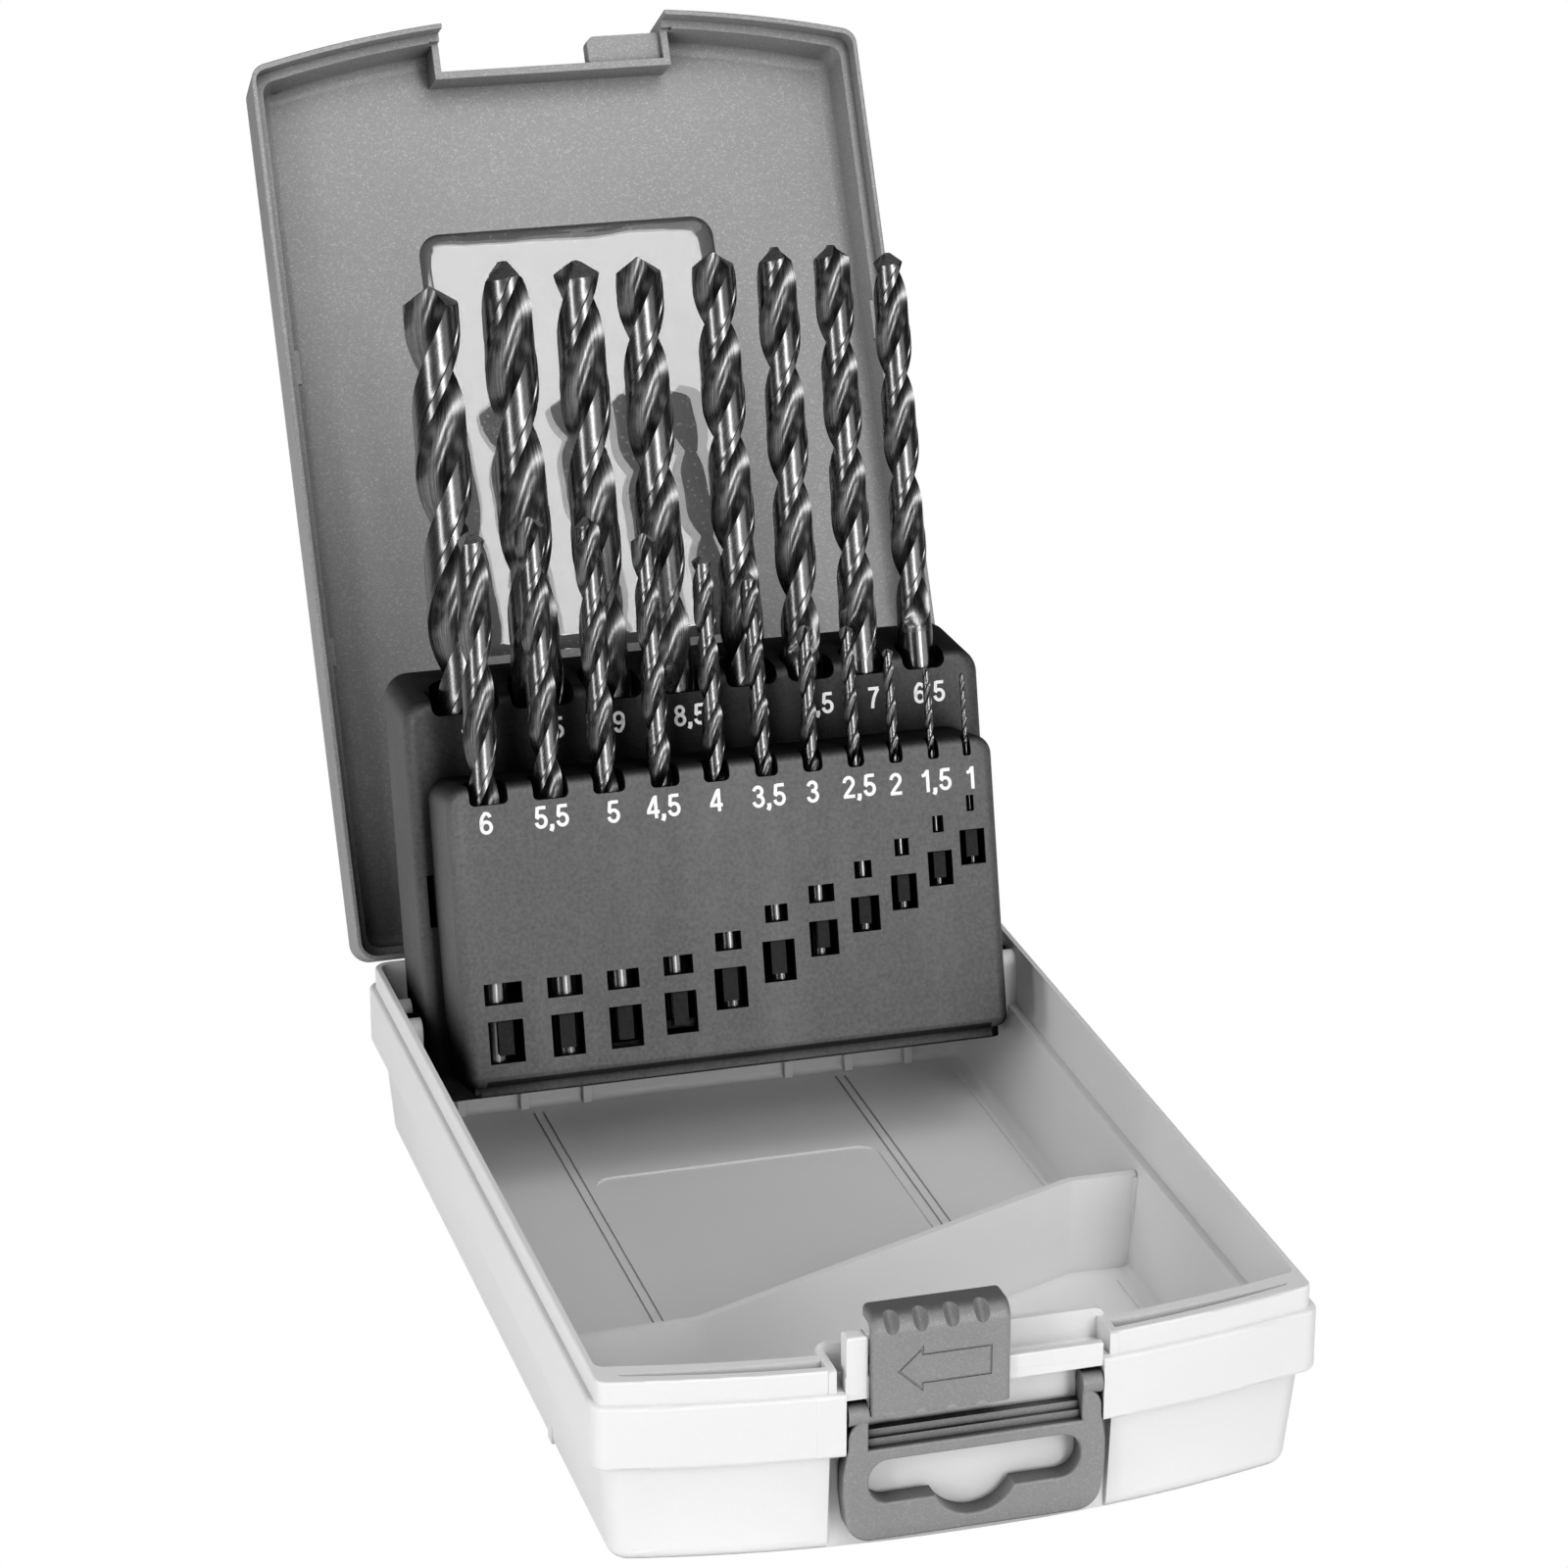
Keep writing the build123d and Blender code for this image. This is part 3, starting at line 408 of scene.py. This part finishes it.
dress("base_tray", M_TRAY)
dress("lid_cover", M_LID)
dress("lid_window", M_WINDOW)
dress("label_card", M_CARD)
dress("latch_slider", M_TRIM)
dress("hang_handle", M_TRIM)
dress("stand_front_tier", M_STAND)
dress("stand_rear_tier", M_STAND)

# ---------------------------------------------------------------- frames of the stand and lid
TILT = math.radians(14.0)
ST_Y, ST_Z = 30.0, 5.0


def stand_pt(x, w, s):
    """Stand frame (x, w back from the front face, s up it), mm, to the case frame, m."""
    c, si = math.cos(TILT), math.sin(TILT)
    return Vector((x, ST_Y + w * c + s * si, ST_Z - w * si + s * c)) * MM


HINGE_Y, HINGE_Z, LID_OPEN = 80.8, 26.0, math.radians(-117.7)


def lid_pt(x, y, z):
    """Closed-lid coordinates, mm, to the open position at rest, m."""
    dy, dz = y - HINGE_Y, z - HINGE_Z
    c, s = math.cos(LID_OPEN), math.sin(LID_OPEN)
    return Vector((x, HINGE_Y + dy * c - dz * s, HINGE_Z + dy * s + dz * c)) * MM


def add_mesh(name, verts, faces, mat, smooth_angle=None):
    me = bpy.data.meshes.new(name)
    me.from_pydata([tuple(v) for v in verts], [], faces)
    me.update()
    bm = bmesh.new()
    bm.from_mesh(me)
    bmesh.ops.recalc_face_normals(bm, faces=bm.faces)
    bm.to_mesh(me)
    bm.free()
    if smooth_angle is not None:
        for p in me.polygons:
            p.use_smooth = True
        me.set_sharp_from_angle(angle=math.radians(smooth_angle))
    me.materials.append(mat)
    ob = bpy.data.objects.new(name, me)
    bpy.context.scene.collection.objects.link(ob)
    return ob


# ---------------------------------------------------------------- twist drills
# diameter: (x at the tip, lean in degrees, tip height s, length, flute length, w, pitch, turn at the tip)
DRILLS = {
    10.0: (-39.0, -0.1, 149.5, 131.6, 87, 21.3, 49.75, 2.439), 9.5: (-26.5, -0.6, 152.75, 125, 81, 21.05, 50.13, 4.061),
    9.0: (-14.35, -0.1, 152.0, 125, 81, 20.8, 48.85, 1.461), 8.5: (-3.9, -0.6, 151.8, 117, 75, 20.55, 42.94, 2.602),
    8.0: (8.8, -0.7, 151.75, 117, 75, 20.3, 37.72, 2.600), 7.5: (19.5, -0.1, 151.8, 109, 69, 20.05, 38.40, 3.880),
    7.0: (29.15, -0.5, 151.45, 109, 69, 19.8, 35.28, 3.480), 6.5: (38.85, -0.6, 149.45, 101, 63, 19.55, 34.16, 4.329),
    6.0: (-38.85, 1.6, 110.4, 90.2, 57, 4.15, 36.0, None), 5.5: (-29.2, 0.0, 112.0, 91.5, 57, 3.9, 30.4, None),
    5.0: (-19.8, 0.0, 111.1, 86, 52, 3.65, 27.9, None), 4.5: (-10.55, 0.0, 107.7, 80, 47, 3.4, 25.0, None),
    4.0: (-1.1, 0.0, 103.2, 75, 43, 3.15, 21.2, None), 3.5: (6.5, -0.7, 99.7, 70, 39, 2.9, 18.6, None),
    3.0: (15.4, 1.0, 90.3, 61, 33, 2.65, 16.7, None), 2.5: (22.4, 0.0, 89.5, 57, 30, 2.4, 13.8, None),
    2.0: (29.2, 0.0, 85.1, 49, 24, 2.15, 11.7, None), 1.5: (35.55, 0.0, 81.4, 40, 18, 1.9, 8.8, None),
    1.0: (41.6, 0.0, 80.0, 34, 12, 1.65, 6.0, None)}
# narrowest silhouette below the tip, mm, where the turn isn't given
NECK = {6.0: 3.7, 5.5: 9.2, 5.0: 13.5, 4.5: 7.5, 4.0: 2.6, 3.5: 10.4, 3.0: 4.0, 2.5: 3.0, 2.0: 2.0, 1.5: 2.0, 1.0: 1.0}
# section, in radii and degrees past the heel: relieved land, margin, then the flute
LAND = 77.0
HEEL = 0.955
TRUE = 0.915


def flute_curve():
    """Flute points (radius, angle past the heel), from the cutting corner to the heel."""
    h = math.radians(180.0 - LAND)
    heel = Vector((HEEL * math.cos(h), HEEL * math.sin(h)))
    corner = Vector((1.0, 0.0))
    u = (heel - corner).normalized()
    mid = (heel + corner) / 2
    n = Vector((-u.y, u.x))
    if n.dot(mid) > 0:
        n = -n
    th = math.radians(42.0)
    reach = (mid.length - 0.2) / 0.75 / math.sin(th)
    p1 = corner + (u * math.cos(th) + n * math.sin(th)) * reach
    p2 = heel + (n * math.sin(th) - u * math.cos(th)) * reach
    pts = []
    for k in range(1, 24):
        t = k / 24.0
        pts.append(corner * (1 - t) ** 3 + p1 * 3 * (1 - t) ** 2 * t + p2 * 3 * (1 - t) * t * t + heel * t ** 3)
    return [(p.length, LAND + math.degrees(math.atan2(p.y, p.x))) for p in pts]


STEP = LAND - 19.0
HALF = [(HEEL, a) for a in (0.0, 2.0, 9.0, 17.0, 25.0, 33.0, 41.0, 49.0, STEP - 2.0)] + [(HEEL + 0.004, STEP)]
HALF += [(1.0, a) for a in (STEP + 2.2, STEP + 6.0, STEP + 11.0, STEP + 15.0, LAND)]
HALF += flute_curve()
N_LAND = 15                                      # columns on the land and margin in each half


def neck_angle():
    """Section rotation at which the silhouette is narrowest across the view."""
    best = (9.0, 0.0)
    for k in range(360):
        psi = math.radians(k * 0.5)
        wide = max(abs(r * math.cos(math.radians(a) + psi)) for r, a in HALF)
        best = min(best, (wide, psi))
    return best


NECK_W, NECK_PSI = neck_angle()
print("neck width ratio", round(NECK_W, 3), "angle", round(math.degrees(NECK_PSI), 1))
VIEW_RIGHT = math.atan2(RIGHT[1], RIGHT[0])


def make_drill(d):
    x_tip, lean, tip, length, flute, w, pitch, turn = DRILLS[d]
    lean = math.tan(math.radians(lean))
    R = d / 2.0 * TRUE
    # section angle a sits at world angle a + phase; narrowest when a + psi is across the view
    if turn is None:
        turn = NECK_PSI + VIEW_RIGHT + 2 * math.pi * NECK[d] / pitch
    phi0 = turn - 2 * math.pi * length / pitch
    cone = math.tan(math.radians(31.0))
    z_full = length - flute + 1.15 * d          # flute at full depth above this
    z_end = length - flute - 0.1 * d            # flute gone below this
    chis = math.radians(LAND + 50.0)
    half_chis = 0.085 * d
    relief = 0.15
    cols = [(r, a, 0.0) for r, a in HALF] + [(r, a, 180.0) for r, a in HALF]
    n = len(cols)

    def sect_r(col, z):
        r, a, _ = col
        if z >= z_full:
            return r * R
        t = max(0.0, min(1.0, (z_full - z) / (z_full - z_end)))
        land = HEEL + (1.0 - HEEL) * min(1.0, max(0.0, (t - 0.55) / 0.4))
        if a <= LAND:
            return max(r, land) * R
        rise = r + t ** 1.8
        soft = max(0.09 - abs(rise - land), 0.0) / 0.09 if t > 0.0 else 0.0
        return (min(rise, land) - 0.0225 * soft * soft) * R

    def top_z(r, col):
        a = math.radians(col[1] + col[2])
        px, py = r * math.cos(a), r * math.sin(a)
        ca, sa = math.cos(chis), math.sin(chis)
        over = max(0.0, abs(px * ca + py * sa) - half_chis)
        rho = math.hypot(over, -px * sa + py * ca)
        aa = col[1]
        zeta = (LAND - aa) if aa <= LAND else (aa - LAND) * LAND / (180.0 - LAND)
        return length - cone * rho - relief * r * math.radians(zeta)

    verts, faces, helix, zone = [], [], [], []

    def turn_at(z):
        return phi0 + 2 * math.pi * max(z, z_end) / pitch

    def put(r, deg, z, phase):
        ang = math.radians(deg) + phase
        x = x_tip + lean * (z - length)
        verts.append(stand_pt(x + r * math.cos(ang), w + r * math.sin(ang), tip - length + z))
        a = math.radians(deg)
        helix.append((r * math.cos(a), r * math.sin(a), z * 0.02 + x_tip))
        return len(verts) - 1

    # plain shank with an eased end
    cham = 0.055 * d
    zs = [0.0, cham * 0.35, cham]
    zz = cham
    while zz < z_end - 6.0:
        zz += 6.0
        zs.append(min(zz, z_end - 0.2))
    zs = sorted(set(round(v, 4) for v in zs if v < z_end))
    plain = len(zs)
    step = max(0.16, min(0.8, pitch / (64.0 if d > 4 else 44.0)))
    k = int(math.ceil((z_full - z_end) / (step * 0.6)))
    zs += [z_end + (z_full - z_end) * i / k for i in range(k)]
    z_stop = length - cone * R - relief * R * math.radians(LAND) - 0.05
    k = int(math.ceil((z_stop - z_full) / step))
    zs += [z_full + (z_stop - z_full) * i / k for i in range(k + 1)]
    rings = []
    for z in zs:
        phase = turn_at(z)
        row = []
        for col in cols:
            r = sect_r(col, z)
            if z < cham:
                r = min(r, R - (cham - z) * (0.9 if z > 0 else 1.0))
            row.append(put(r, col[1] + col[2], z, phase))
        rings.append(row)
    # the last stretch follows each column up to the ground point
    z0 = zs[-1]
    tops = [top_z(sect_r(col, length), col) for col in cols]
    for f in (0.34, 0.67, 1.0):
        row = []
        for col, zt in zip(cols, tops):
            z = z0 + (zt - z0) * f
            row.append(put(sect_r(col, length), col[1] + col[2], z, phi0 + 2 * math.pi * z / pitch))
        rings.append(row)
    side_rows = len(rings) - 1
    # ground point: shrink to the centre without turning
    rim = rings[-1]
    for f in (0.8, 0.6, 0.42, 0.26, 0.12):
        row = []
        for col, zt in zip(cols, tops):
            r = sect_r(col, length) * f
            row.append(put(r, col[1] + col[2], top_z(r, col), phi0 + 2 * math.pi * zt / pitch))
        rings.append(row)
    for j, (ra, rb) in enumerate(zip(rings, rings[1:])):
        for i in range(n):
            i2 = (i + 1) % n
            faces.append((ra[i], ra[i2], rb[i2], rb[i]))
            if j >= side_rows:
                zone.append(1.0)
            elif j < plain:
                zone.append(0.0)
            else:
                zone.append(0.5 if (i % (n // 2)) >= N_LAND - 1 else 0.25)
    c0 = put(0, 0, 0, 0)
    c1 = put(0, 0, length - 0.004 * d, 0)
    for i in range(n):
        j = (i + 1) % n
        faces.append((rings[0][j], rings[0][i], c0))
        faces.append((rings[-1][i], rings[-1][j], c1))
        zone += [0.0, 1.0]
    node = ("drill_%04.1f_mm" % d).replace(".", "_")
    ob = add_mesh("twist_" + node, verts, faces, M_STEEL, smooth_angle=32.0)
    at = ob.data.attributes.new("helix", "FLOAT_VECTOR", "POINT")
    at.data.foreach_set("vector", [c for v in helix for c in v])
    at = ob.data.attributes.new("zone", "FLOAT", "FACE")
    at.data.foreach_set("value", zone)
    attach(ob, "stand")
    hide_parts(node)
    return ob


for d in DRILLS:
    make_drill(d)


# ---------------------------------------------------------------- printed sizes
def arc(cx, cy, rx, ry, a0, a1, n=14):
    out = []
    for k in range(n + 1):
        a = math.radians(a0 + (a1 - a0) * k / n)
        out.append((cx + rx * math.cos(a), cy + ry * math.sin(a)))
    return out


# centre lines of the strokes, height 1: digit: (width, strokes)
SIX = [arc(0.31, 0.70, 0.185, 0.22, 12, 100, 7) + arc(0.36, 0.50, 0.265, 0.42, 108, 180, 8) + arc(0.305, 0.30, 0.21, 0.22, 180, 360, 14)
       + arc(0.305, 0.315, 0.21, 0.235, 0, 168, 14)]
DIGITS = {
    "0": (0.61, [arc(0.305, 0.5, 0.215, 0.42, 90, 450, 30)]),
    "1": (0.50, [[(0.33, 0.0), (0.33, 1.0)], [(0.07, 0.745), (0.17, 0.765), (0.255, 0.83), (0.29, 0.93)]]),
    "2": (0.61, [arc(0.30, 0.69, 0.205, 0.23, 178, -28, 16) + [(0.36, 0.42), (0.20, 0.24), (0.115, 0.10)], [(0.035, 0.08), (0.565, 0.08)]]),
    "3": (0.61, [arc(0.29, 0.725, 0.18, 0.195, 172, -82, 16) + [(0.235, 0.53)],
                 [(0.235, 0.532)] + arc(0.295, 0.30, 0.21, 0.22, 84, -176, 18)]),
    "4": (0.62, [[(0.44, 0.0), (0.44, 1.0)], [(0.40, 0.93), (0.10, 0.34)], [(0.03, 0.285), (0.60, 0.285)]]),
    "5": (0.61, [[(0.53, 0.92), (0.17, 0.92)], [(0.165, 0.965), (0.115, 0.50)],
                 arc(0.295, 0.325, 0.215, 0.245, 150, -172, 20)]),
    "6": (0.61, SIX),
    "7": (0.59, [[(0.04, 0.92), (0.55, 0.92)], [(0.515, 0.90), (0.40, 0.72), (0.30, 0.50), (0.235, 0.26), (0.20, 0.0)]]),
    "8": (0.61, [arc(0.305, 0.735, 0.175, 0.185, -90, 270, 22), arc(0.305, 0.30, 0.21, 0.22, 90, 450, 24)]),
    "9": (0.61, [[(0.61 - px, 1.0 - py) for px, py in st] for st in SIX]),
    ",": (0.27, [[(0.125, 0.17), (0.125, 0.0), (0.06, -0.13)]])}
STROKE = 0.152


def stroke_mesh(pts, half, lift, place, verts, faces):
    """A flat ribbon along pts, closed, lifted off the face."""
    base = len(verts)
    m = len(pts)
    for i, p in enumerate(pts):
        q = Vector(pts[max(0, i - 1)])
        r = Vector(pts[min(m - 1, i + 1)])
        p = Vector(p)
        d0 = (p - q).normalized() if i > 0 else (r - p).normalized()
        d1 = (r - p).normalized() if i < m - 1 else d0
        t = (d0 + d1).normalized()
        nrm = Vector((-t.y, t.x)) * half / max(0.6, t.dot(d0))
        for e, h in ((p + nrm, lift), (p - nrm, lift), (p - nrm, -0.02), (p + nrm, -0.02)):
            verts.append(place(e.x, e.y, h))
    for i in range(m - 1):
        for k in range(4):
            a, b = base + 4 * i + k, base + 4 * i + (k + 1) % 4
            faces.append((a, b, b + 4, a + 4))
    faces.append(tuple(base + k for k in range(4)))
    faces.append(tuple(base + 4 * (m - 1) + k for k in (3, 2, 1, 0)))


def numeral_mesh(items, size, w_face, name):
    """Printed white sizes on a stand face; items: (text, x centre, s centre)."""
    verts, faces = [], []
    for text, cx, cs in items:
        width = sum(DIGITS[c][0] for c in text) + 0.035 * (len(text) - 1)
        pen = -width / 2
        for c in text:
            adv, strokes = DIGITS[c]
            for k, st in enumerate(strokes):
                def place(px, py, h, pen=pen):
                    return stand_pt(cx + (pen + px) * size, w_face - h, cs + (py - 0.5) * size)
                half = STROKE / 2 * (1.22 if c == "," else 1.0)
                stroke_mesh(st, half, 0.012 + 0.003 * k, place, verts, faces)
            pen += adv + 0.035
    ob = add_mesh(name, verts, faces, M_PRINT)
    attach(ob, "stand")
    return ob


numeral_mesh([("6", -40.7, 63.45), ("5,5", -29.8, 63.45), ("5", -19.5, 63.15), ("4,5", -11.1, 63.20), ("4", -2.2, 63.25),
              ("3,5", 6.8, 63.10), ("3", 14.3, 63.00), ("2,5", 22.3, 63.10), ("2", 28.6, 62.80), ("1,5", 35.6, 62.75),
              ("1", 41.6, 62.55)], 3.75, 0.0, "size_numbers_front")
numeral_mesh([("10", -38.6, 75.9), ("9,5", -26.0, 75.9), ("9", -13.9, 75.8), ("8,5", -1.7, 75.8), ("8", 10.9, 75.7),
              ("7,5", 20.5, 75.5), ("7", 30.3, 75.6), ("6,5", 40.1, 75.6)], 3.6, 15.3, "size_numbers_rear")

# ---------------------------------------------------------------- floor, world and lamps
def floor_material():
    mat, nt, b, _ = new_material("floor_look")
    vec = coords(nt)
    f = noise(nt, vec, 6.0, 2.0, 0.5)
    link(nt, grey_color(nt, map_range(nt, f, 0.3, 0.7, 0.93, 0.95)), b.inputs["Base Color"])
    b.inputs["Roughness"].default_value = 0.9
    b.inputs["Specular IOR Level"].default_value = 0.0
    return mat


S = 0.6
floor = add_mesh("floor", [(-S, -S, 0), (S, -S, 0), (S, S, 0), (-S, S, 0)], [(0, 1, 2, 3)], floor_material())
for v in floor.data.vertices:
    v.co.z -= 0.00005
floor.visible_camera = False

world = bpy.data.worlds.new("studio")
bpy.context.scene.world = world
world.use_nodes = True
wn = world.node_tree
wn.nodes.clear()
w_out = wn.nodes.new("ShaderNodeOutputWorld")
bg = wn.nodes.new("ShaderNodeBackground")
bg_cam = wn.nodes.new("ShaderNodeBackground")
bg_gls = wn.nodes.new("ShaderNodeBackground")
lp = wn.nodes.new("ShaderNodeLightPath")
m1 = wn.nodes.new("ShaderNodeMixShader")
m2 = wn.nodes.new("ShaderNodeMixShader")
AMBIENT, GLOSS_AMBIENT = 0.0, 0.03
bg.inputs[0].default_value = (1, 1, 1, 1)
bg.inputs[1].default_value = AMBIENT
bg_gls.inputs[1].default_value = GLOSS_AMBIENT
bg_gls.inputs[0].default_value = (1, 1, 1, 1)
bg_cam.inputs[0].default_value = (1, 1, 1, 1)
bg_cam.inputs[1].default_value = 1.0
wn.links.new(lp.outputs["Is Glossy Ray"], m1.inputs[0])
wn.links.new(bg.outputs[0], m1.inputs[1])
wn.links.new(bg_gls.outputs[0], m1.inputs[2])
wn.links.new(lp.outputs["Is Camera Ray"], m2.inputs[0])
wn.links.new(m1.outputs[0], m2.inputs[1])
wn.links.new(bg_cam.outputs[0], m2.inputs[2])
wn.links.new(m2.outputs[0], w_out.inputs["Surface"])

AIM = Vector((0.0, 0.02, 0.09))


def softbox(name, az, el, dist, width, height, radiance, gloss=True):
    """Area lamp at azimuth az (0 = in front, + towards +X), elevation el, degrees."""
    a, e = math.radians(az), math.radians(el)
    pos = AIM + Vector((math.sin(a) * math.cos(e), -math.cos(a) * math.cos(e), math.sin(e))) * dist
    ld = bpy.data.lights.new(name, "AREA")
    ld.shape = "RECTANGLE"
    ld.size = width
    ld.size_y = height
    ld.energy = radiance * math.pi * width * height
    ob = bpy.data.objects.new(name, ld)
    bpy.context.scene.collection.objects.link(ob)
    z = (pos - AIM).normalized()
    up = Vector((0, 0, 1)) if abs(z.z) < 0.98 else Vector((0, 1, 0))
    x = up.cross(z).normalized()
    y = z.cross(x)
    ob.matrix_world = Matrix(((x.x, y.x, z.x, pos.x), (x.y, y.y, z.y, pos.y), (x.z, y.z, z.z, pos.z), (0, 0, 0, 1)))
    ob.visible_camera = False
    ob.visible_glossy = gloss
    return ob


for lamp in (("key", -30, 35, 1.0, 0.22, 0.22, 6.0), ("strip_right", 17, 27, 1.0, 0.24, 0.95, 6.0),
             ("strip_right_low", 12.5, 14, 1.0, 0.15, 0.50, 4.0), ("strip_left_low", -47, 14, 1.0, 0.15, 0.50, 8.5),
             ("high_right", 15, 62, 0.9, 0.30, 0.30, 5.4), ("front_low", 5, 1, 0.9, 0.50, 0.30, 1.05),
             ("front_right", 45, 2, 0.9, 0.50, 0.30, 1.05), ("top_right", 40, 66, 1.0, 0.50, 0.50, 1.45),
             ("side_left", -85, 8, 1.0, 0.50, 0.50, 4.7, False), ("left", -62, 38, 1.0, 0.50, 0.50, 0.8, False),
             ("rear_left", -150, 8, 1.0, 0.50, 0.50, 2.5, False), ("rear_right", 150, 8, 1.0, 0.50, 0.50, 1.5, False)):
    softbox(*lamp)
